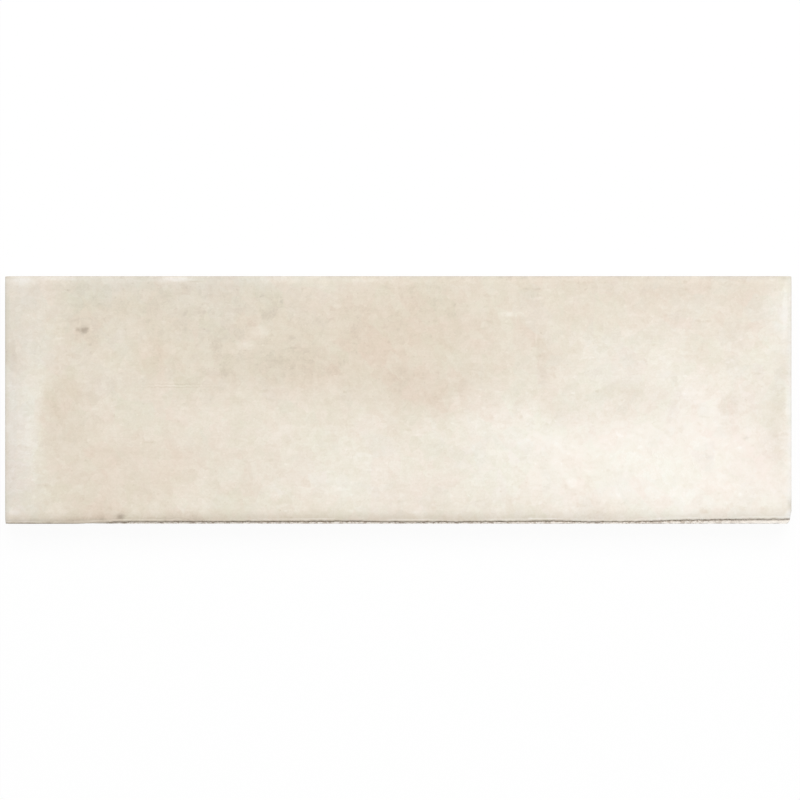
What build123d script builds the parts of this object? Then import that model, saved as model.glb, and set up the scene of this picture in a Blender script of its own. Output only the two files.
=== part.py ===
"""A hand-finished glazed ceramic wall tile, pressed and fired as one piece.

The tile lies on its back, glazed face up. X runs along the tile, Y across it and Z up, and the
origin is the middle of the back. A straight-sided pressed body carries a glazed cap. The cap is
flush with the body on three sides, and along the front (-Y) its edge wavers and stands back, so
a ledge of bare body shows that widens to the right. The cap's face isn't flat: it falls away
towards each side, most of all at the left end, and it has shallow hollows. The back has a grid of
pockets that the adhesive keys into.
"""

import os
from math import exp, floor

from build123d import *

# Overall size, in millimetres
tile_length = 200.0
tile_width = 63.0
tile_thickness = 9.0

# Glazed cap: its height above the ledge, its rolled edge, and how much its corners exceed that roll
cap_height = 1.6
edge_roll_radius = 0.45
corner_ease = 0.15

# Pressed body: the corner that is worn away at the front right, and the chamfer round the back
worn_corner_cut = 1.3
back_arris = 0.4

# The front ledge: its width at the left and right ends, and how far the cap's edge wavers from
# the straight line between them, at shares of the tile's length from the left
left_ledge_width = 0.4
right_ledge_width = 1.3
LEDGE_WAVER = [
    (0.00, 0.00),
    (0.07, 0.00),
    (0.15, 0.24),
    (0.30, 0.28),
    (0.43, 0.18),
    (0.50, -0.14),
    (0.58, 0.05),
    (0.68, 0.06),
    (0.79, -0.34),
    (0.86, 0.10),
    (0.93, 0.08),
    (1.00, 0.00),
]

# The face falls away towards each side
front_fall_width = 2.8
front_fall_depth = 0.45
rear_fall_width = 2.4
rear_fall_depth = 0.12
left_fall_width = 9.0
left_fall_depth = 0.5
right_fall_width = 4.0
right_fall_depth = 0.25

# Shallow hollows of the face: place as shares of length and width from the middle, reach along
# the tile, reach across it, and depth
FACE_HOLLOWS = [
    (-0.33, -0.10, 26.0, 22.0, 0.20),
    (-0.10, -0.34, 34.0, 12.0, 0.16),
    (0.30, -0.22, 44.0, 17.0, 0.30),
    (0.36, 0.38, 20.0, 12.0, 0.14),
    (-0.20, 0.42, 24.0, 9.0, 0.12),
]

# Key pockets of the back
back_rim = 4.5
pocket_size = 11.0
rib_width = 2.6
pocket_depth = 0.5
POCKET_DRAFT = 35.0

# The face is fitted through this many points along and across the tile
FACE_POINTS_ALONG = 84
FACE_POINTS_ACROSS = 64

# Worked out from the sizes above: the roll leaves some of the cap's wall at its lowest corner
body_height = tile_thickness - cap_height
rim_drop = max(front_fall_depth, rear_fall_depth) + max(left_fall_depth, right_fall_depth)
ROLL_SHARE = 0.9
roll_radius = min(edge_roll_radius, ROLL_SHARE * (cap_height - rim_drop))
corner_radius = roll_radius + corner_ease
left = -tile_length / 2
right = tile_length / 2
front = -tile_width / 2
rear = tile_width / 2


def body_outline():
    """The body's plan: a rectangle with rounded corners, and the front right one worn away."""
    plan = Rectangle(tile_length, tile_width)
    *others, worn = plan.vertices().sort_by(lambda corner: corner.X - corner.Y)
    plan = fillet(others, corner_radius)
    return chamfer(plan.vertices().sort_by_distance(worn)[0], worn_corner_cut)


def pressed_body():
    """The straight-sided body, with a small chamfer round its back."""
    body = extrude(body_outline(), body_height)
    return chamfer(body.faces().sort_by(Axis.Z)[0].edges(), back_arris)


def straight_ledge(share):
    """The ledge's width at a share of the length, before its waver."""
    return left_ledge_width + share * (right_ledge_width - left_ledge_width)


def cap_outline():
    """The cap's plan: three straight sides and a wavering front, with rounded corners."""
    edge = [
        (left + share * tile_length, front + straight_ledge(share) + waver)
        for share, waver in LEDGE_WAVER
    ]
    sides = Spline(*edge) + Polyline(edge[-1], (right, rear), (left, rear), edge[0])
    plan = make_face(sides)
    return fillet(plan.vertices(), corner_radius)


def fall(distance, width, depth):
    """How far the face has dropped at a distance from its edge."""
    return depth * max(0.0, 1 - max(0.0, distance) / width) ** 2


def face_height(x, y):
    """The height of the glazed face above the back."""
    cap_front = front + straight_ledge(x / tile_length + 0.5)
    height = tile_thickness
    height -= fall(y - cap_front, front_fall_width, front_fall_depth)
    height -= fall(rear - y, rear_fall_width, rear_fall_depth)
    height -= fall(x - left, left_fall_width, left_fall_depth)
    height -= fall(right - x, right_fall_width, right_fall_depth)
    for along, across, reach_x, reach_y, depth in FACE_HOLLOWS:
        offset_x = (x - along * tile_length) / reach_x
        offset_y = (y - across * tile_width) / reach_y
        height -= depth * exp(-(offset_x**2) - offset_y**2)
    return height


def stations(length, count):
    """Evenly spaced places over a length that is centred on zero."""
    return [length * (i / (count - 1) - 0.5) for i in range(count)]


def face_surface():
    """The waved face as one smooth surface, which covers the whole body's plan."""
    along = stations(tile_length, FACE_POINTS_ALONG)
    across = stations(tile_width, FACE_POINTS_ACROSS)
    points = [[(x, y, face_height(x, y)) for x in along] for y in across]
    return Face.make_surface_from_array_of_points(points, tol=0.005, min_deg=3, max_deg=5)


def glazed_cap():
    """The cap under the waved face, with its upper edge rolled over all round."""
    block = Pos(Z=body_height) * extrude(cap_outline(), tile_thickness)
    cap = block.split(face_surface(), keep=Keep.ALL).sort_by(Axis.Z)[0]
    rim = cap.faces().sort_by(Axis.Z)[-1].edges()
    return fillet(rim, roll_radius)


def key_pockets():
    """The pockets of the back, as many as fit inside its rim."""
    pitch = pocket_size + rib_width
    along = floor((tile_length - 2 * back_rim + rib_width) / pitch)
    across = floor((tile_width - 2 * back_rim + rib_width) / pitch)
    squares = GridLocations(pitch, pitch, along, across) * Rectangle(pocket_size, pocket_size)
    return extrude(Sketch() + squares, pocket_depth, taper=POCKET_DRAFT)


os.makedirs("parts", exist_ok=True)
wall_tile = pressed_body() + glazed_cap() - key_pockets()
export_step(wall_tile, "parts/wall_tile.step")
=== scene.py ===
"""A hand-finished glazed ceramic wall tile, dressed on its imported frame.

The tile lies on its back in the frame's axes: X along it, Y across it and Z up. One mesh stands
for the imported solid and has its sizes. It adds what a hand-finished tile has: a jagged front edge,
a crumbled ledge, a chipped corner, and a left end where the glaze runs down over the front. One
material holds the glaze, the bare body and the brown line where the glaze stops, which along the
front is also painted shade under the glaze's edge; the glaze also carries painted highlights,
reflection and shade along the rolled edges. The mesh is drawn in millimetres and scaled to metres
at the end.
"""

from math import cos, exp, pi, radians, sin, tan

import bmesh
import bpy
from bpy.props import FloatProperty, FloatVectorProperty, PointerProperty
from bpy.types import Operator, Panel, PropertyGroup
from mathutils import Matrix, Vector, noise


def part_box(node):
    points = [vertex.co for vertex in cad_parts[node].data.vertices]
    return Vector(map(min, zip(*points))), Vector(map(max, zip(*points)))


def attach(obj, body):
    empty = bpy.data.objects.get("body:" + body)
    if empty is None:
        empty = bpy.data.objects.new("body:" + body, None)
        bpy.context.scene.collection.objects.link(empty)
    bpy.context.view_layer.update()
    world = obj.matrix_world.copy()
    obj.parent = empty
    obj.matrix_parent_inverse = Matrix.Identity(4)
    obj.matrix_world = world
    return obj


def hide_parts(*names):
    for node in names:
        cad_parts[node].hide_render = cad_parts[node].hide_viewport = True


bl_info = {
    "name": "Glazed Wall Tile",
    "version": (1, 0, 0),
    "blender": (4, 5, 0),
    "location": "View3D > Sidebar > Tile",
    "description": "Models and dresses a hand-finished glazed wall tile on its packed frame",
    "category": "Object",
}

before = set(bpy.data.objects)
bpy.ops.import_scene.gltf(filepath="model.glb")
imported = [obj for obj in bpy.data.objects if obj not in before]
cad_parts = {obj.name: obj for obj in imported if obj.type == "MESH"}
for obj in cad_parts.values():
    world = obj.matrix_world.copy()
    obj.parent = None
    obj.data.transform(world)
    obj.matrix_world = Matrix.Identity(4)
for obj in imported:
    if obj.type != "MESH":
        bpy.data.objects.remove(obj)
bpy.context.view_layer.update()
TILE_LOW, TILE_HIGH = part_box("wall_tile")
MM = 0.001

# Gap that keeps the tile's back and the floor from lying in one plane
FLOOR_GAP = 0.05 * MM

# The mesh attribute that tells how far a place lies inside the glaze's edge, in millimetres, and its
# value on the back
GLAZE_EDGE = "glaze_edge"
BARE = -5.0

# The mesh attribute that is 1 on the crumbled ledge and 0 elsewhere
CRUMBLED = "crumbled"

# Cover of the glaze: of its darkest specks, of thin glaze, where no patch lies, of plain cream glaze,
# where it has pooled, and of its palest flakes. Painted highlights and painted shade along the edges
# are drawn as changes of this cover too
SPECK_COVER = -1.0
THIN_COVER = 0.0
EVEN_COVER = 0.30
CREAM_COVER = 0.41
POOLED_COVER = 1.0
FLAKE_COVER = 1.2

# How strongly faint brushing, fine grain and soft clouds vary the cover, and how far the brushing is
# drawn out along the tile
BRUSHING = 0.040
GRAIN = 0.064
CLOUD = 0.085
BRUSH_STRETCH = (0.06, 1.0, 1.0)

# Blotches that the glaze dried in: their size in millimetres, and the most that one changes the
# cover, the iron and the blush, in percent
BLOTCHES = [
    (1.3, 7, 11, 10),
    (3.0, 6, 16, 18),
    (7.0, 4, 18, 22),
]

# The painted highlight on the bead that the glaze draws up into along its edge: how far inside the
# edge it lies and its half width in millimetres, the length of the stretches that it comes and goes
# over, and its cover
BEAD_HIGHLIGHT_PLACE = 0.62
BEAD_HIGHLIGHT_REACH = 0.20
BEAD_HIGHLIGHT_STRETCH = 9.0
BEAD_HIGHLIGHT_COVER = 0.55

# How closely the face and its rolled edge are divided
FACE_COLUMNS = 640
FACE_ROWS = 92
ROW_CROWDING = 0.42
ROLL_STEPS = 5

# How much of the way to a square corner the corners reach: 1 is square, and 0.71 is round
CORNER_SHARE = 0.88

# Chip at the front right corner: its length along the front, its width up the right side and its
# depth, in millimetres
CORNER_CHIP = (2.5, 1.5, 0.3)

# How far inside the glaze's edge the face's rim lies and its rolled edge ends, and how fast that falls
# with each ring below and over the ledge, in millimetres
RIM_INSIDE = 0.5
ROLL_INSIDE = 0.12
RING_DROP = 0.06
LEDGE_DROP = 0.9

# Factor that makes up for rounding where the grid's outermost places should be 1
JUST_OVER = 1.0001

# Angle between two faces from which the edge between them is sharp
SHARP_ANGLE = radians(38)

# How far the cap's front edge wavers from the straight ledge in millimetres, at shares of the length
# from the left
LEDGE_WAVER = [
    (0.00, 0.00),
    (0.07, 0.00),
    (0.15, 0.08),
    (0.27, 0.01),
    (0.35, -0.05),
    (0.44, 0.00),
    (0.49, -0.28),
    (0.58, -0.33),
    (0.65, -0.30),
    (0.70, -0.22),
    (0.74, -0.48),
    (0.80, -0.47),
    (0.86, -0.18),
    (0.91, -0.05),
    (0.96, -0.03),
    (1.00, -0.05),
]

# Fine jags of the cap's front edge: their reach in millimetres, the row of the noise that they are cut
# from, and the length of their waves in millimetres
FRONT_JAGS = [
    (0.09, 0, 2.2),
    (0.11, 5, 0.8),
]

# Width and depth by which the face falls away towards each side, in millimetres
FRONT_FALL = (2.8, 0.45)
REAR_FALL = (2.4, 0.12)
LEFT_FALL = (9.0, 0.5)
RIGHT_FALL = (4.0, 0.25)

# Shallow hollows of the face: place as shares of length and width from the middle, then reach
# along the tile, reach across it and depth in millimetres
FACE_HOLLOWS = [
    (-0.33, -0.10, 26.0, 22.0, 0.20),
    (-0.10, -0.34, 34.0, 12.0, 0.16),
    (0.30, -0.22, 44.0, 17.0, 0.30),
    (0.36, 0.38, 20.0, 12.0, 0.14),
    (-0.20, 0.42, 24.0, 9.0, 0.12),
]

# Undulation of the face, broad and fine: its height and the length of its waves, in millimetres
BROAD_UNDULATION = (0.03, 11)
FINE_UNDULATION = (0.012, 4)

# Key pockets of the back: the least rim round them in millimetres, the slope of their sides, and the
# rounding of their edges in millimetres
BACK_RIM = 4.5
POCKET_DRAFT = radians(35)
POCKET_ROUND = 0.12

# The left end, where the glaze runs down over the front: its length, the length over which it stops,
# and the width and depth of its broader roll, in millimetres
SLUMP_LENGTH = 17.0
SLUMP_FADE = 13.0
SLUMP_ROLL = (1.5, 0.45)

# Height that the glaze runs down to on the plain sides, how far its edge wavers there, and the length
# of its waves, in millimetres
GLAZED_DOWN_TO = 5.0
GLAZE_WAVER = 1.2
GLAZE_WAVE = 9

# How many times higher the ledge's crumbled crest is at the right end than at the left
CREST_RISE = 1.35

# Crumbs of the ledge, coarse and fine: their strength, the row of the noise that they start at, and the
# length of their waves in millimetres
LEDGE_CRUMBS = [
    (1.0, 0, 1.1),
    (0.6, 40, 0.45),
]

# Rows of the noise that the way over the ledge takes up, and how far the crumbs push the surface back,
# as a share of its raggedness
CRUMB_ROWS = 9
CRUMB_PUSH = 0.6

# Height above the ledge at which the colour of the crumbs starts, and the height over which it grows
# full, in millimetres
CRUMBS_FROM = -0.2
CRUMBS_FADE = 0.25

# Shares of the length between which the ledge's dark crumbs thin out towards the right, which paints
# light on the ledge there
CRUMBS_THIN_FOR_PAINTED_LIGHT = (0.87, 0.98)

# Rings of the side below the rolled edge. Along the front: share of the way over the crumbled ledge,
# height above it and raggedness, in millimetres. On the other sides: share of the way down to the
# arris
SIDE_RINGS = [
    (0.00, 0.40, 0.06, 0.02),
    (-0.05, 0.20, 0.08, 0.05),
    (0.12, 0.12, 0.12, 0.09),
    (0.30, 0.22, 0.16, 0.14),
    (0.46, 0.32, 0.17, 0.20),
    (0.64, 0.38, 0.17, 0.27),
    (0.84, 0.41, 0.16, 0.35),
    (0.97, 0.33, 0.14, 0.44),
    (1.00, -0.20, 0.08, 0.54),
    (1.00, -0.90, 0.03, 0.62),
    (1.00, -2.60, 0.02, 0.74),
    (1.00, -4.80, 0.02, 0.88),
    (1.00, -7.00, 0.00, 1.00),
]

# Soft patches of the glaze: place in millimetres from the middle of the tile, reach
# along and across, change of cover in percent (thin and tan below nought, thick and pale above)
# and change of iron in percent (rusty above nought, cool below)
GLAZE_PATCHES = [
    (68, -17, 46, 17, 67, 14),
    (38, -14, 20, 12, 19, 0),
    (26, -7, 12, 8, 17, -5),
    (72, 3, 26, 14, 33, -6),
    (62, 22, 36, 12, 9, 0),
    (-10, -18, 24, 13, 28, -25),
    (-38, -15, 20, 14, 6, 0),
    (-31, -3, 10, 6, 8, 0),
    (-55, -4, 16, 6, 9, 0),
    (0, 16, 26, 14, -15, 60),
    (6, 0, 9, 6, -10, 15),
    (-38, 16, 36, 14, -17, 0),
    (-30, 8, 24, 4, -5, 10),
    (-62, 11, 6, 10, -4, 40),
    (-45, 19, 9, 8, 0, -15),
    (-37, 15, 4, 4, 11, 0),
    (-80, 21, 7, 9, -24, 10),
    (-61, 21, 7, 9, -10, 10),
    (-84, -1, 7, 12, -12, 10),
    (-76, -17, 16, 12, -9, 30),
    (-78, -27, 9, 5, -12, 20),
    # At the far left end, the cool tint and the paleness of these patches are a painted reflection on
    # the left end's fall
    (-97, 16, 5, 10, -10, -40),
    (-97, -4, 5, 18, 3, -40),
    (-91, 8, 3, 12, 8, -20),
    (34, 12, 5, 9, -5, 0),
    (23, 24, 6, 3, 9, -10),
    (8, 27, 5, 4, -8, 0),
    (45, 22, 5, 4, -2, 0),
    (57, 1, 7, 4, -6, 0),
    (84, -1, 4, 3, -5, 5),
    (76, 13, 5, 7, -4, 5),
    (95.5, -3, 3, 12, -9, 0),
    # A painted highlight near the right end's rear corner
    (97, 25, 3, 8, 6, -10),
    (47, -18, 4, 5, -3, 25),
    (-45, 27, 40, 8, -12, -20),
    (45, 28, 45, 6, -17, 0),
    (56, -4, 14, 4, -10, 0),
    (95, -24, 5, 8, 16, 0),
    (76, -27, 18, 5, 10, 0),
    # Painted reflection on the left end's fall
    (-95, -2, 5, 20, 4, 0),
    (77, 29, 4, 3, -12, 0),
    (-46, 13, 6, 8, -9, -10),
    (18, 19, 12, 5, -11, 0),
    (62, 19, 12, 5, -9, 0),
    (-37, -5, 4, 3, -7, 0),
    (36, -1, 4, 4, -12, 0),
    (65, -2, 6, 7, -18, 0),
    (-10, -8, 6, 4, 9, 0),
    (8, -7, 8, 3, 14, 0),
    (17, -24, 8, 4, 10, 0),
    (-17, -22, 6, 5, 14, 0),
    (82, -19, 8, 5, 9, 0),
    # Painted reflection on the left end's fall
    (-97, -12, 3, 14, 8, -25),
    # A painted highlight on the right end, with a cool tint
    (95, 17, 3, 12, 12, -20),
    (50, 5, 4, 4, 3, 0),
    (-50, 30, 45, 3, 0, -40),
    (-36, 4, 10, 3, -10, 0),
    (17, 4, 5, 4, -9, 0),
    (-61, -1, 5, 4, -9, 0),
    (46, -1, 8, 4, -11, 0),
    (35, -16, 5, 4, -12, 0),
    (95, -6, 4, 4, -9, 0),
    (91, 12, 6, 5, 12, 0),
    # Painted highlights near the right end's rear corner
    (95, 26, 5, 6, 16, 0),
    (98, 27, 2.5, 4, 8, 0),
    (-22, 29, 14, 3, 9, 0),
    (29, -21, 5, 4, 9, 0),
    (71, -21, 6, 4, 9, 0),
    (-55, -26, 18, 3, 9, 0),
    # Painted reflection on the left end's fall, as a cool tint
    (-97, 27, 5, 6, 0, -40),
    (-95, -26, 7, 5, 0, -45),
    (-67, 4, 8, 4, 0, -25),
    (-25, 20, 5, 6, 0, -25),
    (-58, -21, 6, 8, 0, 35),
    (5, -16, 5, 8, 0, 25),
    # Painted reflection on the left end's fall
    (-97, 3, 3, 8, 4, 0),
    (-97, -21, 3, 4, 5, 0),
    (-85, 14, 3, 4, -9, 0),
    (-85, -11, 3, 3, -9, 0),
    (6, 11, 6, 4, 8, 0),
    (51, 14, 6, 3, 9, 0),
    (72, 1, 4, 5, 9, 0),
    (-13, -26, 6, 3, 10, 0),
    (83, -16, 6, 4, 8, 0),
    (-55, -15.5, 4, 4, -8, 30),
    (-20, -26, 12, 3, 0, 30),
    (71, -2, 4, 5, 0, -35),
    (59, -18, 5, 5, 0, -30),
    (17, -16, 4, 3, 0, -30),
    (-22, 19, 5, 4, 0, -30),
    (-75, 28, 16, 4, 0, -25),
    (95, 9, 3, 3, 0, -30),
    (80, 9, 5, 3, -9, 0),
    (-61, 24, 4, 3, -8, 0),
    (-43, 24, 4, 3, -8, 0),
    (-16, 7, 5, 4, -8, 0),
    (-61, -26, 4, 2.5, -9, 0),
    (83, -6, 3, 2.5, -8, 0),
    (-74, 19, 26, 14, 0, -22),
    (-15, -14, 30, 14, 0, 20),
]

# Soft casts of the glaze: place and reach as above, and change of blush in percent (pink
# above nought, green below)
GLAZE_CASTS = [
    (83, -9, 5, 5, 55),
    (92, -18, 6, 6, 50),
    (71, 19, 5, 4, 45),
    (90, 22, 6, 5, 35),
    (70, 28, 20, 4, 18),
    (35, 21, 4, 5, 50),
    (62, 0, 5, 4, 25),
    (84, -2, 3, 3, 45),
    (-97, -9, 3, 12, 40),
    (-55, -13, 5, 5, 50),
    (-30, 2, 5, 5, 35),
    (-18, 6, 6, 4, 30),
    (-7, -6, 4, 3, 50),
    (8, -24, 7, 5, 30),
    (-70, 4, 7, 5, -35),
    (-55, 4, 4, 6, -45),
    (-43, -26, 4, 3, -60),
    (-79, 27, 6, 5, -35),
    (-90, -23, 5, 6, -30),
    (-19, -11, 4, 3, -45),
    (12, 12, 7, 5, -35),
    (15, -16, 8, 4, -35),
    (26, -20, 6, 3, -30),
    (20, 24, 5, 3, -30),
    (38, -6, 6, 4, -50),
    (48, 2, 6, 5, -35),
    (89, -6, 3, 3, -45),
    (90, 10, 4, 5, -35),
]

# Lobes of the glaze that end at an edge, in the same terms as its patches
GLAZE_LOBES = [
    (-34, 12.8, 14, 10, -9, 0),
    (-22, 8.0, 7, 5.8, -6, 15),
    (-1, 15, 15, 12, -3, 10),
    (5, 3.5, 9, 5.6, -10, 0),
    (17, 9, 10, 7.5, -5, -5),
    (-85.5, 0.8, 5.2, 6.0, -9, 28),
    (-82.5, -7.0, 6.2, 4.2, -9, -5),
    (-74, -20, 16, 9, -4, 8),
    (-63, 12, 4.0, 4.5, 0, 35),
    (-58, 8, 1.6, 3.2, -8, -30),
    (53, 7, 8.0, 9.0, 6, -8),
    (57, 2, 5.2, 3.6, -11, 10),
    (84, -1.3, 2.7, 2.7, -20, 0),
    (46, 22.5, 4.2, 2.4, -7, 12),
    (36, 13, 2.0, 3.5, -8, 12),
    (76, 13, 3.2, 4.5, -7, 5),
    # At the far left end, the cool tint and the paleness of these lobes are a painted reflection on the
    # left end's fall
    (-97.6, -9, 5.9, 17.5, 9, -22),
    (-88.4, -5, 2.6, 11, -8, 10),
    (-99.0, -9, 2.0, 18, 0, -50),
    (-98.3, 11.5, 1.2, 4.5, -14, -20),
    (-35.2, 17.2, 2.2, 1.8, 17, 0),
    (-38.7, 13.8, 2.4, 1.0, 15, 0),
    (97, -1, 1.8, 4.5, -10, 12),
    (48, -26.5, 4.0, 0.9, -9, 0),
]

# Small marks of the glaze, in the same terms: specks, spots, drag lines and streaks; painted
# highlights, painted reflection and painted shade along the rolled edges; and a painted glint at the
# chipped corner
GLAZE_MARKS = [
    (-79.8, 17.6, 1.00, 0.90, -84, 0),
    (-81.5, 17.8, 0.60, 0.55, -44, 0),
    (-79.0, 18.2, 0.55, 0.50, -26, 0),
    (-70.5, -29.6, 1.10, 0.90, -64, -30),
    (-70.9, -28.8, 1.70, 1.20, -14, -20),
    (88.3, -9.6, 0.75, 0.60, -30, -80),
    (79.0, -14.5, 1.10, 0.65, -28, -60),
    (81.0, -12.4, 1.40, 0.30, -10, 0),
    (77.8, -28.3, 1.30, 0.70, -38, 50),
    (60.2, 2.6, 1.20, 0.70, -16, 0),
    (54.0, 1.6, 1.60, 1.20, -8, 0),
    (83.7, -1.5, 0.70, 0.60, -14, 0),
    (51.8, 18.4, 0.45, 1.10, -14, 0),
    (26.2, 8.0, 1.50, 0.80, -9, 0),
    (32.5, 28.3, 0.80, 0.40, -26, 0),
    (35.2, 28.2, 1.20, 0.35, -26, 0),
    (46.0, 30.9, 8.00, 0.35, 14, 0),
    (47.0, 29.9, 9.00, 0.35, -14, 0),
    (35.6, 14.8, 0.35, 2.20, -12, 0),
    (35.0, 15.6, 0.25, 1.20, 20, 0),
    (41.9, 16.2, 0.45, 0.45, 24, 0),
    (50.0, 28.6, 5.00, 0.40, -8, 0),
    (-34.5, 26.5, 0.80, 0.65, -15, -20),
    (-29.6, 25.0, 0.45, 0.85, -15, -20),
    (-40.0, 17.0, 2.40, 1.60, -8, -10),
    (-46.0, 13.4, 0.60, 0.60, -12, 0),
    (-57.0, 4.0, 7.50, 0.14, -24, 10),
    (-58.0, 3.25, 8.50, 0.16, -22, 10),
    (-57.0, 3.6, 7.50, 0.14, 14, 0),
    (-70.0, -9.5, 3.60, 0.14, -14, 0),
    (71.0, -29.3, 3.00, 0.25, -16, 0),
    (28.7, 21.9, 3.20, 0.75, 28, 0),
    (-35.3, 17.6, 1.60, 1.00, 6, 0),
    (-39.0, 14.5, 2.20, 1.10, 6, 0),
    (-42.0, 12.4, 2.20, 1.10, 8, 0),
    (-53.0, 16.0, 2.40, 1.60, 8, 0),
    # The pale streaks among these are painted highlights on the rear rolled edge
    (-96.0, 30.4, 3.50, 1.10, 46, -10),
    (-86.0, 30.9, 5.00, 0.55, 40, 0),
    (-56.5, 30.7, 3.80, 0.70, 56, -20),
    (-51.5, 30.2, 2.40, 0.25, -26, 0),
    (-10.0, 30.5, 8.00, 0.60, 16, -20),
    (-31.0, 30.7, 8.00, 0.75, 16, 0),
    (95.0, 31.3, 5.00, 0.80, -26, 0),
    # A painted highlight at the front left corner
    (-97.8, -28.5, 1.90, 1.00, 26, -20),
    (-54.0, -28.0, 1.40, 0.30, 16, 0),
    (-82.0, -30.5, 4.00, 0.80, -6, 60),
    (-75.0, -29.8, 3.00, 0.80, -6, 40),
    # Painted highlights on the right rolled edge, then a painted glint at the chipped corner
    (98.3, 22.0, 0.75, 7.00, 45, -20),
    (97.0, 21.0, 1.60, 6.00, 20, -10),
    (98.8, -1.0, 0.50, 4.00, 20, 0),
    (96.4, -10.0, 0.90, 4.50, -9, -10),
    (99.3, -29.0, 0.90, 0.80, 70, -30),
    # From here on, painted light and shade along the rolled edges: shade and a cool grey along the rear
    # edge, shade along the left edge, a painted reflection on the left end's fall, light along the right
    # edge, shade at its front corner, and shade along the front edge
    (0.0, 31.5, 300, 0.55, -40, -50),
    (45.0, 31.0, 30.0, 0.70, -14, 0),
    (-99.9, 0.0, 0.90, 60.0, -19, -75),
    (-93.2, -8.0, 2.40, 14.0, 17, -10),
    (99.7, 0.0, 0.70, 60.0, 24, -60),
    (99.8, -26.9, 0.80, 1.80, -60, -60),
    (-65.0, 31.2, 40.0, 0.80, 0, -45),
    (88.0, 31.2, 12.0, 0.80, 0, -70),
    (-62.0, -30.3, 12.0, 0.45, -30, 0),
    (99.0, 0.0, 1.10, 60.0, 9, -10),
    (-25.0, -30.4, 75.0, 1.70, -28, 0),
    (-93.0, -31.6, 15.0, 0.45, -120, -30),
]

# How the patches of the glaze are laid: the values that they change, how sharp their edges are, and
# the length and the reach of the waves that their outlines waver by, in millimetres
COVER_AND_IRON = ("Cover", "Iron")
GLAZE_LAYERS = [
    (GLAZE_PATCHES, COVER_AND_IRON, 1.0, 9.0, 13.0),
    (GLAZE_LOBES, COVER_AND_IRON, 4.0, 3.5, 3.0),
    (GLAZE_MARKS, COVER_AND_IRON, 1.2, 1.4, 0.7),
    (GLAZE_CASTS, ("Blush",), 1.5, 5.0, 6.0),
]

# Spots that lie scattered over the glaze: their spacing along and across in millimetres, and the most
# that one changes the cover, in percent
SCATTERED_SPOTS = [
    (1.3, 0.9, 34),
    (2.8, 2.0, 34),
    (7.0, 2.2, 30),
    (9.0, 7.0, 22),
]

# Where the edge of a scattered spot starts and ends, as shares of the spacing, and the power that makes
# most of the spots faint
SPOT_EDGE = (0.26, 0.06)
SPOT_POWER = 3.0

# Reach or spacing, in millimetres, that makes a patch or a spot the same at all depths
ALL_DEPTHS = 1e6

# Middle value of the noise of a shader
NOISE_MIDDLE = 0.5

# Roughness of thin glaze, of pooled glaze and of the bare body
THIN_ROUGHNESS = 0.40
POOLED_ROUGHNESS = 0.27
BARE_ROUGHNESS = 0.92

# The glaze's edge: how ragged it is, half the width over which the glaze stops, and how far to either
# side the brown line stays full and fades out, in millimetres. Along the front the brown line is also
# painted shade under the glaze's edge
EDGE_RAG = 0.9
EDGE_SOFTNESS = 0.06
BROWN_REACH = (0.05, 0.28)

# Depth of the fine relief of the bare body and of the glaze, in metres
BARE_RELIEF = 0.06 * MM
GLAZE_RELIEF = 0.008 * MM

# The floor's grey where it lights the tile, and the share of plain white where the camera sees it, which
# leaves the rest to its shadow
FLOOR_GREY = 0.82
FLOOR_GLOW = 0.93
WHITE = (1, 1, 1, 1)

# Soft light: its sides and its place, in metres
KEY_SIDES = (1.1, 0.8)
KEY_PLACE = (0.1, 0.75, 1.07)

# Camera: the picture's side and the tile's length in it, in pixels, how far to the right of the tile's
# middle and above it the picture's middle lies, in pixels, the height in metres at which these hold, and
# the sensor's width in millimetres
PICTURE_SIDE = 800
TILE_PIXELS = 786.3
VIEW_OFFSET = (1.75, 0.05)
FACE_LEVEL = 0.0081
SENSOR_WIDTH = 36.0


def linear(hex_colour):
    """An sRGB hex colour as linear red, green and blue."""
    shares = [int(hex_colour[i : i + 2], 16) / 255 for i in (1, 3, 5)]
    return [s / 12.92 if s <= 0.04045 else ((s + 0.055) / 1.055) ** 2.4 for s in shares]


def size_property(name, description, default):
    """A length that the sidebar shows."""
    return FloatProperty(name=name, description=description, default=default, unit="LENGTH")


def colour_property(name, description, hex_colour):
    """A colour that the sidebar shows."""
    return FloatVectorProperty(
        name=name, description=description, default=linear(hex_colour), subtype="COLOR"
    )


class TileSizes(PropertyGroup):
    """Sizes of the tile."""

    length: size_property("Length", "Length of the tile, along X", TILE_HIGH.x - TILE_LOW.x)
    width: size_property("Width", "Width of the tile, along Y", TILE_HIGH.y - TILE_LOW.y)
    thickness: size_property(
        "Thickness", "Thickness of the tile at the top of its face", TILE_HIGH.z - TILE_LOW.z
    )
    cap_height: size_property("Cap Height", "Height of the glazed cap above the front ledge", 1.6 * MM)
    edge_roll: size_property("Edge Roll", "Radius of the rolled edge round the face", 0.45 * MM)
    left_ledge: size_property("Left Ledge", "Width of the front ledge at its left end", 0.4 * MM)
    right_ledge: size_property("Right Ledge", "Width of the front ledge at its right end", 1.3 * MM)
    worn_corner: size_property(
        "Worn Corner", "How much of the body's front right corner is worn away", 0.9 * MM
    )
    back_arris: size_property("Back Arris", "Chamfer round the back", 0.4 * MM)
    pocket_size: size_property("Pocket Size", "Side of a key pocket of the back", 11 * MM)
    rib_width: size_property("Rib Width", "Width of the ribs between the key pockets", 2.6 * MM)
    pocket_depth: size_property("Pocket Depth", "Depth of a key pocket", 0.5 * MM)


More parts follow.
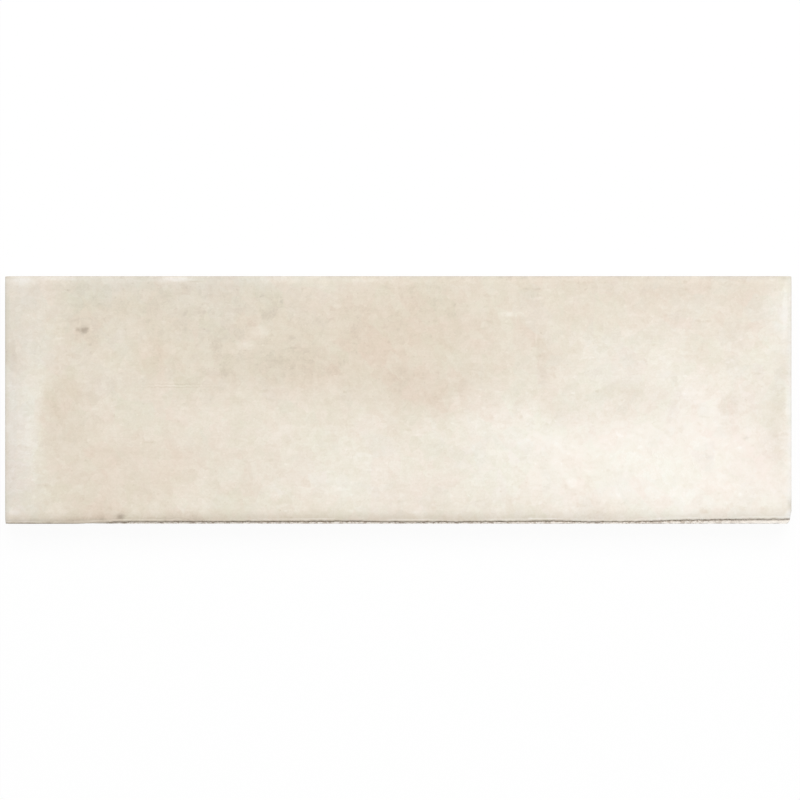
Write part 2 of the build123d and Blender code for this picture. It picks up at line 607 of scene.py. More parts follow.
class TileColours(PropertyGroup):
    """Colours of the tile."""

    thin_glaze: colour_property("Thin Glaze", "Glaze that lies thin over the body", "#DED3C1")
    cream_glaze: colour_property("Cream Glaze", "Glaze of the usual thickness", "#EAE1D2")
    thick_glaze: colour_property("Thick Glaze", "Glaze that has pooled and hides the body", "#FBF5EB")
    flake: colour_property("Flake", "Palest flakes of the pooled glaze", "#FFFBF3")
    iron: colour_property("Iron", "Tint where iron shows through the glaze", "#FFFAF8")
    # The cool tint also paints the reflection on the left end's fall and along the rolled edges
    cool: colour_property("Cool", "Tint where the glaze has no iron", "#F8FBFF")
    pink: colour_property("Pink", "Tint of the pinker blotches of the glaze", "#FFF8F9")
    green: colour_property("Green", "Tint of the greener blotches of the glaze", "#F9FFFA")
    # The brown line is a glaze break, and along the front also painted shade under the glaze's edge
    glaze_break_and_shade: colour_property("Glaze Break", "Brown line where the glaze stops", "#A69886")
    speck: colour_property("Speck", "Iron specks in the glaze", "#A89A88")
    biscuit: colour_property("Biscuit", "Bare fired body", "#FBF7F0")
    crumb: colour_property("Crumb", "Dark crumbs on the ledge", "#CDC2B6")
    warm_biscuit: colour_property("Warm Biscuit", "Bare fired body where it is rosier", "#F2E9DF")


class StageSettings(PropertyGroup):
    """Floor, light and camera."""

    floor_size: size_property("Floor Size", "Side of the floor", 4.0)
    lens: FloatProperty(
        name="Lens",
        description="Focal length of the camera, in millimetres",
        default=135.0,
        subtype="DISTANCE_CAMERA",
    )
    key_power: FloatProperty(
        name="Key Power",
        description="Power of the soft light above the tile's rear edge",
        default=11.0,
        unit="POWER",
    )
    ambient: FloatProperty(
        name="Ambient",
        description="Strength of the even light from all round",
        default=0.54,
        subtype="FACTOR",
    )


class MillimetreSizes:
    """The tile's sizes in millimetres, with the places of its sides."""

    def __init__(self, sizes):
        for name in TileSizes.__annotations__:
            setattr(self, name, getattr(sizes, name) / MM)
        self.left = -self.length / 2
        self.right = self.length / 2
        self.front = -self.width / 2
        self.rear = self.width / 2
        self.ledge_height = self.thickness - self.cap_height


def eased(share):
    """A share, held between 0 and 1, that starts and ends gently."""
    share = min(1.0, max(0.0, share))
    return share * share * (3 - 2 * share)


def mixed(start, end, share):
    """The value at a share of the way from start to end."""
    return start + (end - start) * share


def ripple(x, y, wave):
    """Smooth noise between about -1 and 1 with waves of about that length in millimetres."""
    return noise.noise(Vector((x / wave, y / wave, wave)))


def waver(share):
    """How far the cap's front edge stands back from the straight ledge at a share of the length."""
    for (start, low), (end, high) in zip(LEDGE_WAVER, LEDGE_WAVER[1:]):
        if share <= end:
            return mixed(low, high, eased((share - start) / (end - start)))
    return LEDGE_WAVER[-1][1]


def straight_ledge(size, x):
    """The front ledge's width at x, before its waver."""
    return mixed(size.left_ledge, size.right_ledge, (x - size.left) / size.length)


def cap_front(size, x):
    """The place of the cap's front edge at x, with its waver and its fine jags."""
    jags = sum(reach * ripple(x, row, wave) for reach, row, wave in FRONT_JAGS)
    share = (x - size.left) / size.length
    ledge = straight_ledge(size, x) + waver(share) + jags
    return size.front + ledge * (1 - slump(size, x))


def slump(size, x):
    """How far the glaze runs down over the front at x: 1 at the left end, and 0 from there on."""
    return 1 - eased((x - size.left - SLUMP_LENGTH) / SLUMP_FADE)


def body_front(size, x):
    """The place of the body's front at x, which the worn corner cuts off at the right."""
    return size.front + max(0.0, x - (size.right - size.worn_corner))


def fall(distance, width_and_depth):
    """How far the face has dropped at a distance from its edge."""
    width, depth = width_and_depth
    return depth * max(0.0, 1 - max(0.0, distance) / width) ** 2


def face_height(size, x, y):
    """The height of the glazed face, with its fine undulation."""
    edge = y - size.front - straight_ledge(size, x)
    height = size.thickness
    height -= fall(edge, FRONT_FALL)
    height -= fall(y - size.front, SLUMP_ROLL) * slump(size, x)
    height -= fall(size.rear - y, REAR_FALL)
    height -= fall(x - size.left, LEFT_FALL)
    height -= fall(size.right - x, RIGHT_FALL)
    for along, across, reach_x, reach_y, depth in FACE_HOLLOWS:
        offset_x = (x - along * size.length) / reach_x
        offset_y = (y - across * size.width) / reach_y
        height -= depth * exp(-(offset_x**2) - offset_y**2)
    broad, broad_wave = BROAD_UNDULATION
    fine, fine_wave = FINE_UNDULATION
    height += broad * (ripple(x, y, broad_wave) - 1) + fine * ripple(x, y, fine_wave)
    return height


def lay_face(bm, size):
    """Lays the face as a grid that is closer towards the front and rear, up to its rolled edge.

    Each vertex on the rim keeps its place there, the way outwards, and the way from the cap's edge
    to the body's edge, which is nothing but at the front.
    """
    edge = bm.verts.layers.float.new(GLAZE_EDGE)
    bm.verts.layers.float.new(CRUMBLED)
    rim = bm.verts.layers.float_vector.new("rim")
    outward = bm.verts.layers.float_vector.new("outward")
    ledge = bm.verts.layers.float_vector.new("ledge")
    chip_length, chip_width, chip_depth = CORNER_CHIP
    bmesh.ops.create_grid(bm, x_segments=FACE_COLUMNS, y_segments=FACE_ROWS, size=1)
    for vert in bm.verts:
        across, along = vert.co.y, vert.co.x
        x = along * (size.length / 2 - size.edge_roll)
        crowded = across * (1 + ROW_CROWDING * (1 - across * across))
        front = cap_front(size, x) + size.edge_roll
        y = mixed(front, size.rear - size.edge_roll, (crowded + 1) / 2)
        by_right = max(0.0, 1 - (size.right - size.edge_roll - x) / chip_length)
        by_front = max(0.0, 1 - (y - front) / chip_width)
        x -= chip_depth * by_right * by_front
        vert.co = (x, y, face_height(size, x, y))
        vert[edge] = y - front + RIM_INSIDE
        if vert.is_boundary:
            way = Vector((int(along * JUST_OVER), int(across * JUST_OVER), 0))
            if way.x and way.y:
                way *= CORNER_SHARE
            vert[rim] = vert.co
            vert[outward] = way
            if way.y < 0 and way.x >= 0:
                cap_edge = vert.co + way * size.edge_roll
                body_edge = Vector((x, body_front(size, x), 0))
                if way.x:
                    body_edge = Vector((size.right - chip_depth, size.front + size.worn_corner, 0))
                vert[ledge] = ((body_edge - cap_edge).x, (body_edge - cap_edge).y, 0)
    return edge, rim, outward, ledge


def extrude_ring(bm, edges):
    """Extrudes a closed ring of edges, and gives the new edges and vertices."""
    made = bmesh.ops.extrude_edge_only(bm, edges=edges)["geom"]
    new_edges = [part for part in made if isinstance(part, bmesh.types.BMEdge)]
    new_verts = [part for part in made if isinstance(part, bmesh.types.BMVert)]
    return [edge for edge in new_edges if edge.is_boundary], new_verts


def roll_edge(bm, edges, size, layers):
    """Rolls the face's edge over into the side."""
    edge, rim, outward = layers[:3]
    fade = (RIM_INSIDE - ROLL_INSIDE) / ROLL_STEPS
    for step in range(1, ROLL_STEPS + 1):
        angle = pi / 2 * step / ROLL_STEPS
        edges, verts = extrude_ring(bm, edges)
        for vert in verts:
            vert[edge] = max(vert[edge] - fade, ROLL_INSIDE)
            vert.co = vert[rim] + vert[outward] * size.edge_roll * sin(angle)
            vert.co.z -= size.edge_roll * (1 - cos(angle))
    return edges


def drop_sides(bm, edges, size, layers):
    """Carries the side down from the rolled edge, over the ledge along the front, to the arris."""
    edge, rim, outward, ledge = layers
    crumbs = bm.verts.layers.float[CRUMBLED]
    thick, thin = CRUMBS_THIN_FOR_PAINTED_LIGHT
    for step, (over, lift, rag, down) in enumerate(SIDE_RINGS):
        edges, verts = extrude_ring(bm, edges)
        specked = min(1.0, max(0.0, lift - CRUMBS_FROM) / CRUMBS_FADE)
        for vert in verts:
            start = vert[rim] + vert[outward] * size.edge_roll
            start.z -= size.edge_roll
            place = start + vert[ledge] * over
            place.z = mixed(start.z, size.back_arris, down)
            inside = place.z - GLAZED_DOWN_TO - GLAZE_WAVER * ripple(place.x, place.y, GLAZE_WAVE)
            if vert[ledge].length > 0:
                slumped = slump(size, place.x)
                crumble = sum(
                    strength * ripple(place.x, over * CRUMB_ROWS + row, wave)
                    for strength, row, wave in LEDGE_CRUMBS
                )
                share = (place.x - size.left) / size.length
                rise = mixed(1.0, CREST_RISE, share)
                crumbled = size.ledge_height + max(lift, lift * rise) + rag * crumble
                place.z = mixed(crumbled, place.z, slumped)
                place.y += CRUMB_PUSH * rag * abs(crumble) * (1 - slumped)
                spread = RING_DROP * step + LEDGE_DROP * max(0.0, over) * vert[ledge].length
                inside = mixed(ROLL_INSIDE - spread, inside, slumped)
                # Fewer crumbs towards the right paint the ledge paler there, as painted light
                thinned = eased((share - thick) / (thin - thick))
                vert[crumbs] = (1 - slumped) * (1 - thinned) * specked
            vert[edge] = inside
            vert.co = place
    return edges


def close_back(bm, edges, size, layers):
    """Turns the side in at the arris and fills the back, with its grid of key pockets."""
    edge, outward = layers[0], layers[2]
    edges, verts = extrude_ring(bm, edges)
    for vert in verts:
        vert.co -= vert[outward] * size.back_arris
        vert.co.z = 0
    pitch = size.pocket_size + size.rib_width
    columns = int((size.length - 2 * BACK_RIM + size.rib_width) / pitch)
    rows = int((size.width - 2 * BACK_RIM + size.rib_width) / pitch)
    plan = Matrix.Diagonal((columns * pitch / 2, rows * pitch / 2, 1, 1))
    grid = bmesh.ops.create_grid(bm, x_segments=columns, y_segments=rows, size=1, matrix=plan)
    corners = set(grid["verts"])
    cells = [face for face in bm.faces if face.verts[0] in corners]
    bmesh.ops.reverse_faces(bm, faces=cells)
    rib = size.rib_width / 2
    bmesh.ops.inset_individual(bm, faces=cells, thickness=rib, use_even_offset=True)
    draft = size.pocket_depth * tan(POCKET_DRAFT)
    sunk = bmesh.ops.inset_individual(
        bm, faces=cells, thickness=draft, depth=-size.pocket_depth, use_even_offset=True
    )
    walls = {side for wall in sunk["faces"] for side in wall.edges}
    bmesh.ops.bevel(
        bm,
        geom=[side for side in bm.edges if side in walls],
        offset=POCKET_ROUND,
        offset_type="OFFSET",
        affect="EDGES",
        segments=2,
        profile=0.5,
        material=-1,
    )
    loops = [side for side in bm.edges if side.is_boundary]
    bmesh.ops.triangle_fill(bm, edges=loops, use_beauty=True, normal=(0, 0, -1))
    for vert in bm.verts:
        if vert.co.z < size.pocket_depth + POCKET_ROUND:
            vert[edge] = BARE


def tile_mesh(size):
    """The whole tile as one closed mesh, in metres."""
    bm = bmesh.new()
    layers = lay_face(bm, size)
    edges = [edge for edge in bm.edges if edge.is_boundary]
    edges = roll_edge(bm, edges, size, layers)
    edges = drop_sides(bm, edges, size, layers)
    close_back(bm, edges, size, layers)
    bmesh.ops.recalc_face_normals(bm, faces=bm.faces)
    open_edges = [edge for edge in bm.edges if not edge.is_manifold]
    if open_edges:
        raise RuntimeError(f"the tile's mesh has {len(open_edges)} open edges")
    for name in ("rim", "outward", "ledge"):
        bm.verts.layers.float_vector.remove(bm.verts.layers.float_vector[name])
    for face in bm.faces:
        face.smooth = True
    for edge in bm.edges:
        edge.smooth = edge.calc_face_angle() < SHARP_ANGLE
    bmesh.ops.scale(bm, vec=(MM, MM, MM), verts=bm.verts)
    mesh = bpy.data.meshes.new("glazed_tile")
    bm.to_mesh(mesh)
    bm.free()
    return mesh


def add_node(tree, kind, inputs=None, **settings):
    """Adds a node with its settings, and links or fills its inputs."""
    node = tree.nodes.new(kind)
    for name, value in settings.items():
        setattr(node, name, value)
    for key, value in (inputs or {}).items():
        if isinstance(value, bpy.types.NodeSocket):
            tree.links.new(value, node.inputs[key])
        else:
            node.inputs[key].default_value = value
    return node


# Sockets of a Mix node: its factor, the numbers or the colours that it mixes, and the mixed colour
FACTOR, NUMBER_A, NUMBER_B, COLOUR_A, COLOUR_B, MIXED = 0, 2, 3, 6, 7, 2

# Kinds of socket of a node group
NUMBER, VECTOR, COLOUR = "NodeSocketFloat", "NodeSocketVector", "NodeSocketColor"


def add_math(tree, operation, *values):
    """The result of a Math node on sockets or numbers."""
    return add_node(tree, "ShaderNodeMath", dict(enumerate(values)), operation=operation).outputs[0]


def add_vector_math(tree, operation, *values):
    """The vector that a Vector Math node makes of sockets or vectors."""
    node = add_node(tree, "ShaderNodeVectorMath", dict(enumerate(values)), operation=operation)
    return node.outputs[0]


def add_scaled(tree, vector, scale):
    """A vector or colour times a number."""
    node = add_node(tree, "ShaderNodeVectorMath", {0: vector, "Scale": scale}, operation="SCALE")
    return node.outputs[0]


def add_noise(tree, place, wave, detail, roughness, twist=0.0):
    """A Noise Texture with waves of about that length in millimetres."""
    inputs = {"Vector": place, "Scale": 1 / wave, "Detail": detail, "Roughness": roughness}
    return add_node(tree, "ShaderNodeTexNoise", {**inputs, "Distortion": twist})


def add_range(tree, value, given=(0.0, 1.0), wanted=(0.0, 1.0), kind="LINEAR"):
    """A value of the given range, brought to the wanted range."""
    inputs = {"Value": value, "From Min": given[0], "From Max": given[1]}
    inputs.update({"To Min": wanted[0], "To Max": wanted[1]})
    return add_node(tree, "ShaderNodeMapRange", inputs, interpolation_type=kind).outputs[0]


def add_blend(tree, factor, first, second):
    """The number at a share of the way from the first to the second."""
    inputs = {FACTOR: factor, NUMBER_A: first, NUMBER_B: second}
    return add_node(tree, "ShaderNodeMix", inputs, data_type="FLOAT").outputs[0]


def add_mix(tree, factor, first, second, **settings):
    """The colour at a share of the way from the first to the second."""
    inputs = {FACTOR: factor, COLOUR_A: first, COLOUR_B: second}
    return add_node(tree, "ShaderNodeMix", inputs, data_type="RGBA", **settings).outputs[MIXED]


def add_change(tree, group, inputs, percents, values):
    """Adds a node of a group that changes the named values by so many percent, and keeps them."""
    filled = dict(inputs)
    for name, percent in percents.items():
        filled[name] = percent / 100
        filled[f"{name} So Far"] = values[name]
    node = add_node(tree, "ShaderNodeGroup", filled, node_tree=group)
    for name in percents:
        values[name] = node.outputs[name]


def new_group(name, inputs, outputs):
    """A shader node group with its sockets, and its two end nodes."""
    group = bpy.data.node_groups.new(name, "ShaderNodeTree")
    for direction, sockets in (("INPUT", inputs), ("OUTPUT", outputs)):
        for socket, kind in sockets:
            group.interface.new_socket(name=socket, in_out=direction, socket_type=kind)
    return group, group.nodes.new("NodeGroupInput"), group.nodes.new("NodeGroupOutput")


def change_group(title, inputs, changes):
    """A node group that is given changes of the named values and adds to what they are so far."""
    inputs = inputs + [(name, NUMBER) for name in changes]
    inputs += [(f"{name} So Far", NUMBER) for name in changes]
    return new_group(title, inputs, [(name, NUMBER) for name in changes])


def soft_patch_group(title, changes):
    """A round patch that adds to each of the named values: a sharpness of 1 fades softly from its
    middle, and a higher one stays even up to an edge."""
    inputs = [("Place", VECTOR), ("Middle", VECTOR), ("Reach", VECTOR), ("Sharpness", NUMBER)]
    group, start, end = change_group(title, inputs, changes)
    given = start.outputs
    offset = add_vector_math(group, "SUBTRACT", given["Place"], given["Middle"])
    shares = add_vector_math(group, "DIVIDE", offset, given["Reach"])
    square = add_node(group, "ShaderNodeVectorMath", {0: shares, 1: shares}, operation="DOT_PRODUCT")
    sharp = add_math(group, "POWER", square.outputs["Value"], given["Sharpness"])
    amount = add_math(group, "EXPONENT", add_math(group, "MULTIPLY", sharp, -1.0))
    for name in changes:
        total = add_math(group, "MULTIPLY_ADD", amount, given[name], given[f"{name} So Far"])
        group.links.new(total, end.inputs[name])
    return group


def scattered_spots_group():
    """Spots at random places and of random strength, most of them faint, that add to the cover."""
    inputs = [("Place", VECTOR), ("Spacing", VECTOR)]
    group, start, end = change_group("Scattered Spots", inputs, ("Cover",))
    given = start.outputs
    cells = add_vector_math(group, "DIVIDE", given["Place"], given["Spacing"])
    spot = add_node(
        group, "ShaderNodeTexVoronoi", {"Vector": cells, "Scale": 1.0}, voronoi_dimensions="2D"
    )
    fade = add_range(group, spot.outputs["Distance"], given=SPOT_EDGE, kind="SMOOTHSTEP")
    chance = add_range(group, spot.outputs["Color"], wanted=(-1.0, 1.0))
    faint = add_math(group, "POWER", chance, SPOT_POWER)
    amount = add_math(group, "MULTIPLY", faint, given["Cover"])
    total = add_math(group, "MULTIPLY_ADD", amount, fade, given["Cover So Far"])
    group.links.new(total, end.inputs["Cover"])
    return group


def blotch_group():
    """Soft-edged blotches side by side, each with its own change of cover, iron and blush."""
    changes = {"Cover": "Red", "Iron": "Green", "Blush": "Blue"}
    group, start, end = change_group("Blotches", [("Place", VECTOR), ("Size", NUMBER)], changes)
    given = start.outputs
    scale = add_math(group, "DIVIDE", 1.0, given["Size"])
    cells = add_node(
        group,
        "ShaderNodeTexVoronoi",
        {"Vector": given["Place"], "Scale": scale, "Smoothness": 0.15},
        voronoi_dimensions="2D",
        feature="SMOOTH_F1",
    )
    chances = add_node(group, "ShaderNodeSeparateColor", {0: cells.outputs["Color"]})
    for name, channel in changes.items():
        signed = add_range(group, chances.outputs[channel], wanted=(-1.0, 1.0))
        total = add_math(group, "MULTIPLY_ADD", signed, given[name], given[f"{name} So Far"])
        group.links.new(total, end.inputs[name])
    return group


def warped_place(group, place, wave, shift):
    """The place, shifted to and fro over waves of that length, in millimetres."""
    drift = add_noise(group, place, wave, detail=4.0, roughness=0.6).outputs["Color"]
    centred = add_vector_math(group, "SUBTRACT", drift, (NOISE_MIDDLE, NOISE_MIDDLE, NOISE_MIDDLE))
    return add_vector_math(group, "MULTIPLY_ADD", centred, (shift, shift, 0.0), place)


def lay_patches(group, place, values):
    """Changes the values by the patches, lobes, marks and casts of the glaze, some of which are painted
    highlights, reflection and shade along the rolled edges.
    """
    patches = {
        COVER_AND_IRON: soft_patch_group("Soft Patch", COVER_AND_IRON),
        ("Blush",): soft_patch_group("Soft Cast", ("Blush",)),
    }
    for rows, names, sharpness, wave, shift in GLAZE_LAYERS:
        warped = warped_place(group, place, wave, shift)
        for x, y, reach_x, reach_y, *percents in rows:
            shape = {
                "Place": warped,
                "Middle": (x, y, 0.0),
                "Reach": (reach_x, reach_y, ALL_DEPTHS),
                "Sharpness": sharpness,
            }
            add_change(group, patches[names], shape, dict(zip(names, percents)), values)
        if "Cover" in names:
            values["Cover"] = add_math(group, "MINIMUM", values["Cover"], POOLED_COVER)


def with_bead_highlight(group, place, edge, cover):
    """The cover with a painted highlight on the bead along the glaze's edge, which comes and goes in
    stretches.
    """
    distance = add_math(group, "ABSOLUTE", add_math(group, "SUBTRACT", edge, BEAD_HIGHLIGHT_PLACE))
    bead = add_range(group, distance, (BEAD_HIGHLIGHT_REACH, 0.0), (0.0, BEAD_HIGHLIGHT_COVER), kind="SMOOTHSTEP")
    stretches = add_noise(group, place, BEAD_HIGHLIGHT_STRETCH, detail=2.0, roughness=0.6)
    present = add_range(group, stretches.outputs["Fac"], given=(0.42, 0.58))
    return add_math(group, "MULTIPLY_ADD", bead, present, cover)


def mottled(group, place, cover):
    """The cover with faint brushing, fine grain and soft clouds, and the noise of the clouds."""
    brushed = add_vector_math(group, "MULTIPLY", place, BRUSH_STRETCH)
    waves = (
        (brushed, 0.5, 1.0, 0.0, 0.50, BRUSHING),
        (place, 0.9, 1.4, 1.2, 0.14, GRAIN),
        (place, 4.0, 3.0, 0.4, 0.50, CLOUD),
    )
    for where, wave, detail, twist, spread, strength in waves:
        waved = add_noise(group, where, wave, detail, 0.7, twist).outputs["Fac"]
        given = (NOISE_MIDDLE - spread, NOISE_MIDDLE + spread)
        centred = add_range(group, waved, given, wanted=(-1.0, 1.0), kind="SMOOTHSTEP")
        cover = add_math(group, "MULTIPLY_ADD", centred, strength, cover)
    return cover, waved


def scatter_blotches(group, place, values):
    """Changes the values by blotches side by side, and the cover by scattered spots."""
    frayed = warped_place(group, place, wave=2.0, shift=1.8)
    blotch = blotch_group()
    for size, cover, iron, blush in BLOTCHES:
        percents = {"Cover": cover, "Iron": iron, "Blush": blush}
        add_change(group, blotch, {"Place": frayed, "Size": size}, percents, values)
    spots = scattered_spots_group()
    for along, across, cover in SCATTERED_SPOTS:
        spacing = (along, across, ALL_DEPTHS)
        add_change(group, spots, {"Place": frayed, "Spacing": spacing}, {"Cover": cover}, values)


def cover_colour(group, cover, colours):
    """The glaze's colour by its cover, from specks through thin, cream and pooled glaze to flakes."""
    span = FLAKE_COVER - SPECK_COVER
    share = add_math(group, "MULTIPLY_ADD", cover, 1 / span, -SPECK_COVER / span)
    ramp = add_node(group, "ShaderNodeValToRGB", {0: share})
    ramp.color_ramp.elements[0].color = (*colours.speck, 1)
    ramp.color_ramp.elements[1].color = (*colours.flake, 1)
    stops = (
        (THIN_COVER, colours.thin_glaze),
        (CREAM_COVER, colours.cream_glaze),
        (POOLED_COVER, colours.thick_glaze),
    )
    for stop, shade in stops:
        ramp.color_ramp.elements.new((stop - SPECK_COVER) / span).color = (*shade, 1)
    return ramp.outputs[0]


def tinted(group, colour, values, colours):
    """The colour with its tints: iron is rusty above nought and cool below, and blush is pink above
    nought and green below."""
    tints = (
        (values["Iron"], colours.iron, colours.cool),
        (values["Blush"], colours.pink, colours.green),
    )
    for above, *both in tints:
        below = add_math(group, "MULTIPLY", above, -1.0)
        for amount, tint in zip((above, below), both):
            shade = (*tint, 1)
            colour = add_mix(group, amount, colour, shade, blend_type="MULTIPLY", clamp_factor=True)
    return colour


def glaze_group(colours):
    """Satin tin glaze, poured by hand: cream where it lies evenly, tan where it is thin and the body
    shows through, near white where it has pooled, with a faint mottle and a rusty tint in places. Its
    marks and the bead along its front edge also paint highlights, reflection and shade along the rolled
    edges."""
    group, start, end = new_group(
        "Poured Cream Glaze",
        [("Place", VECTOR), ("Edge", NUMBER)],
        [("Colour", COLOUR), ("Roughness", NUMBER), ("Height", NUMBER)],
    )
    place = start.outputs["Place"]
    values = {"Cover": EVEN_COVER, "Iron": 0.0, "Blush": 0.0}
    lay_patches(group, place, values)
    cover = with_bead_highlight(group, place, start.outputs["Edge"], values["Cover"])
    values["Cover"], clouds = mottled(group, place, cover)
    scatter_blotches(group, place, values)
    cover = values["Cover"]
    colour = tinted(group, cover_colour(group, cover, colours), values, colours)
    sheen = add_range(group, cover, wanted=(THIN_ROUGHNESS, POOLED_ROUGHNESS))
    group.links.new(colour, end.inputs["Colour"])
    group.links.new(sheen, end.inputs["Roughness"])
    group.links.new(clouds, end.inputs["Height"])
    return group


def biscuit_group(colours):
    """Bare fired earthenware: pale, matt and finely grained, a little warmer in places, and specked
    with darker crumbs on the ledge."""
    group, start, end = new_group(
        "Pressed Biscuit",
        [("Place", VECTOR), ("Crumbled", NUMBER)],
        [("Colour", COLOUR), ("Height", NUMBER)],
    )
    place = start.outputs["Place"]
    grain = add_noise(group, place, wave=0.6, detail=4.0, roughness=0.75).outputs["Fac"]
    cloud = add_noise(group, place, wave=7.0, detail=3.0, roughness=0.6).outputs["Fac"]
    warm = add_mix(group, cloud, (*colours.biscuit, 1), (*colours.warm_biscuit, 1))
    pits = add_range(group, grain, given=(0.3, 0.5), wanted=(0.90, 1.0))
    grained = add_scaled(group, warm, pits)
    crumbs = add_noise(group, place, wave=1.1, detail=2.0, roughness=0.8).outputs["Fac"]
    dark = add_range(group, crumbs, given=(0.52, 0.42))
    shown = add_math(group, "MULTIPLY", dark, start.outputs["Crumbled"])
    crumbled = add_mix(group, shown, grained, (*colours.crumb, 1))
    group.links.new(crumbled, end.inputs["Colour"])
    group.links.new(grain, end.inputs["Height"])
    return group


def glazed_earthenware(colours):
    """Glazed earthenware: satin cream glaze over a pale pressed body, with a brown line between, which
    along the front is also painted shade under the glaze's edge.
    """
    material = bpy.data.materials.new("Glazed Earthenware")
    material.use_nodes = True
    tree = material.node_tree
    shader = tree.nodes["Principled BSDF"]
    place = add_scaled(tree, add_node(tree, "ShaderNodeTexCoord").outputs["Object"], 1 / MM)

    # How far the surface lies inside the glaze's ragged edge, in millimetres
    edge = add_node(tree, "ShaderNodeAttribute", attribute_name=GLAZE_EDGE).outputs["Fac"]
    rag = add_noise(tree, place, wave=0.9, detail=3.0, roughness=0.7)
    centred = add_math(tree, "SUBTRACT", rag.outputs["Fac"], NOISE_MIDDLE)
    inside = add_math(tree, "MULTIPLY_ADD", centred, EDGE_RAG, edge)
    glazed = add_range(tree, inside, given=(-EDGE_SOFTNESS, EDGE_SOFTNESS), kind="SMOOTHSTEP")

    # The brown line where the glaze stops, which along the front is also painted shade under the glaze's
    # edge, stronger in some stretches than in others
    stretches = add_noise(tree, place, wave=4.0, detail=3.0, roughness=0.7)
    strength = add_range(tree, stretches.outputs["Fac"], given=(0.4, 0.6), wanted=(0.4, 0.9))
    distance = add_math(tree, "ABSOLUTE", inside)
    brown = add_range(tree, distance, BROWN_REACH, wanted=(strength, 0.0), kind="SMOOTHSTEP")

    glaze = add_node(
        tree, "ShaderNodeGroup", {"Place": place, "Edge": edge}, node_tree=glaze_group(colours)
    ).outputs
    crumbled = add_node(tree, "ShaderNodeAttribute", attribute_name=CRUMBLED).outputs["Fac"]
    biscuit = add_node(
        tree,
        "ShaderNodeGroup",
        {"Place": place, "Crumbled": crumbled},
        node_tree=biscuit_group(colours),
    ).outputs
    body = add_mix(tree, glazed, biscuit["Colour"], glaze["Colour"])
    # The brown line: a glaze break, and along the front also painted shade under the glaze's edge
    lined = add_mix(tree, brown, body, (*colours.glaze_break_and_shade, 1))
    rough = add_blend(tree, glazed, BARE_ROUGHNESS, glaze["Roughness"])
    relief = add_blend(tree, glazed, biscuit["Height"], glaze["Height"])
    depth = add_range(tree, glazed, wanted=(BARE_RELIEF, GLAZE_RELIEF))
    bump = add_node(
        tree, "ShaderNodeBump", {"Strength": 1.0, "Distance": depth, "Height": relief}
    ).outputs[0]
    tree.links.new(lined, shader.inputs["Base Color"])
    tree.links.new(rough, shader.inputs["Roughness"])
    tree.links.new(bump, shader.inputs["Normal"])
    shader.inputs["IOR"].default_value = 1.5
    return material


class TILE_OT_glazed_tile(Operator):
    """Model the tile and dress it in its glaze"""

    bl_idname = "tile.glazed_tile"
    bl_label = "Glazed Tile"

    def execute(self, context):
        scene = context.scene
        mesh = tile_mesh(MillimetreSizes(scene.tile_sizes))
        mesh.materials.append(glazed_earthenware(scene.tile_colours))
        tile = bpy.data.objects.new("glazed_tile", mesh)
        scene.collection.objects.link(tile)
        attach(tile, "root")
        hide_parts("wall_tile")
        return {"FINISHED"}


def seen_directly(tree):
    """1 where the camera, a mirror or glass sees a surface, and 0 where it only lights others."""
    path = add_node(tree, "ShaderNodeLightPath")
    rays = [path.outputs[f"Is {kind} Ray"] for kind in ("Camera", "Glossy", "Transmission")]
    return add_math(tree, "MAXIMUM", add_math(tree, "MAXIMUM", rays[0], rays[1]), rays[2])


def floor_material():
    """White studio floor: it shows white, and keeps a part of the tile's soft shadow."""
    material = bpy.data.materials.new("White Floor")
    material.use_nodes = True
    tree = material.node_tree
    tree.nodes.clear()
    output = add_node(tree, "ShaderNodeOutputMaterial")
    grey = (FLOOR_GREY, FLOOR_GREY, FLOOR_GREY, 1)
    matt = add_node(tree, "ShaderNodeBsdfDiffuse", {"Color": grey})
    white = add_node(tree, "ShaderNodeBsdfDiffuse", {"Color": WHITE})
    glow = add_node(tree, "ShaderNodeEmission", {"Strength": 1.0})
    shown = add_node(
        tree, "ShaderNodeMixShader", {0: FLOOR_GLOW, 1: white.outputs[0], 2: glow.outputs[0]}
    )
    both = add_node(
        tree, "ShaderNodeMixShader", {0: seen_directly(tree), 1: matt.outputs[0], 2: shown.outputs[0]}
    )
    tree.links.new(both.outputs[0], output.inputs["Surface"])
    return material


def studio_world(ambient):
    """Even light from all round, which shows as white."""
    world = bpy.data.worlds.new("Studio")
    world.use_nodes = True
    tree = world.node_tree
    background = tree.nodes["Background"]
    background.inputs["Color"].default_value = WHITE
    strength = add_range(tree, seen_directly(tree), wanted=(ambient, 1.0))
    tree.links.new(strength, background.inputs["Strength"])
    return world


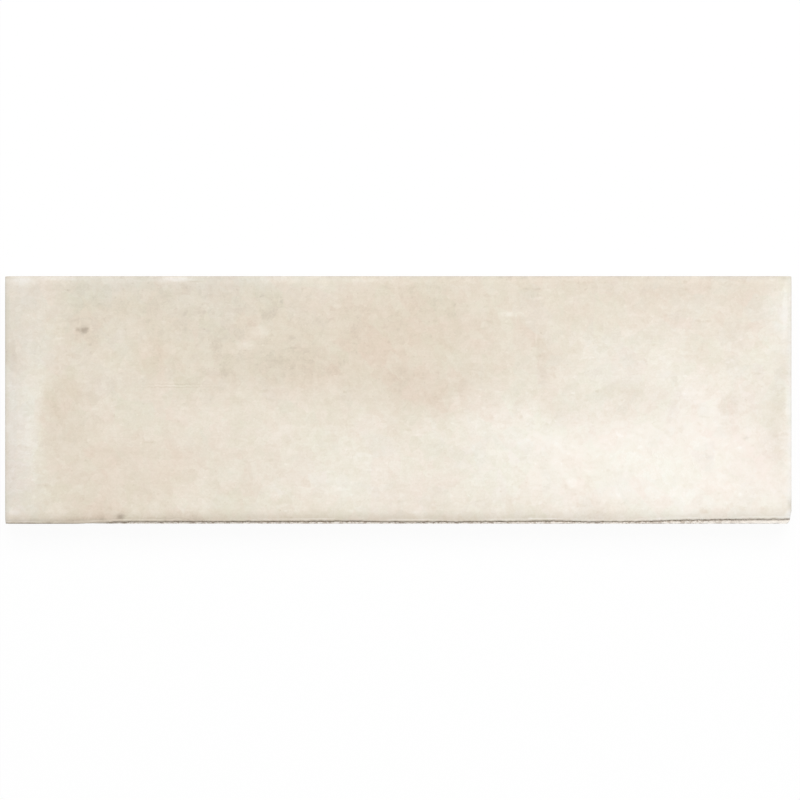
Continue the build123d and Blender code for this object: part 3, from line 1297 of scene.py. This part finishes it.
class TILE_OT_studio_stage(Operator):
    """Add the floor, the soft light and the camera above the tile"""

    bl_idname = "tile.studio_stage"
    bl_label = "Studio Stage"

    def execute(self, context):
        scene = context.scene
        stage = scene.tile_stage
        bm = bmesh.new()
        under = Matrix.Translation((0, 0, -FLOOR_GAP))
        bmesh.ops.create_grid(
            bm, x_segments=1, y_segments=1, size=stage.floor_size / 2, matrix=under
        )
        mesh = bpy.data.meshes.new("floor")
        bm.to_mesh(mesh)
        bm.free()
        mesh.materials.append(floor_material())
        floor = bpy.data.objects.new("floor", mesh)
        scene.collection.objects.link(floor)
        scene.world = studio_world(stage.ambient)

        key = bpy.data.lights.new("key", "AREA")
        key.shape = "RECTANGLE"
        key.size, key.size_y = KEY_SIDES
        key.energy = stage.key_power
        lamp = bpy.data.objects.new("key", key)
        lamp.location = KEY_PLACE
        lamp.rotation_mode = "QUATERNION"
        lamp.rotation_quaternion = Vector(KEY_PLACE).to_track_quat("Z", "Y")
        lamp.visible_camera = False
        scene.collection.objects.link(lamp)

        camera = bpy.data.cameras.new("camera")
        camera.lens = stage.lens
        camera.sensor_width = SENSOR_WIDTH
        eye = bpy.data.objects.new("camera", camera)
        pixel = scene.tile_sizes.length / TILE_PIXELS
        distance = pixel * PICTURE_SIDE * stage.lens / SENSOR_WIDTH
        right, above = VIEW_OFFSET
        eye.location = (right * pixel, above * pixel, FACE_LEVEL + distance)
        scene.collection.objects.link(eye)
        scene.camera = eye
        scene.view_settings.view_transform = "Standard"
        return {"FINISHED"}


class TILE_PT_sidebar(Panel):
    """Lists the tile's operators and settings"""

    bl_label = "Glazed Wall Tile"
    bl_space_type = "VIEW_3D"
    bl_region_type = "UI"
    bl_category = "Tile"

    def draw(self, context):
        layout = self.layout
        for operator in (TILE_OT_glazed_tile, TILE_OT_studio_stage):
            layout.operator(operator.bl_idname)
        for group in (context.scene.tile_sizes, context.scene.tile_colours, context.scene.tile_stage):
            box = layout.box()
            for name in type(group).__annotations__:
                box.prop(group, name)


CLASSES = (
    TileSizes,
    TileColours,
    StageSettings,
    TILE_OT_glazed_tile,
    TILE_OT_studio_stage,
    TILE_PT_sidebar,
)


def register():
    for item in CLASSES:
        bpy.utils.register_class(item)
    bpy.types.Scene.tile_sizes = PointerProperty(type=TileSizes)
    bpy.types.Scene.tile_colours = PointerProperty(type=TileColours)
    bpy.types.Scene.tile_stage = PointerProperty(type=StageSettings)


def unregister():
    del bpy.types.Scene.tile_stage
    del bpy.types.Scene.tile_colours
    del bpy.types.Scene.tile_sizes
    for item in reversed(CLASSES):
        bpy.utils.unregister_class(item)


def main():
    """Builds the tile and its stage."""
    register()
    bpy.ops.tile.glazed_tile()
    bpy.ops.tile.studio_stage()


if __name__ == "__main__":
    main()
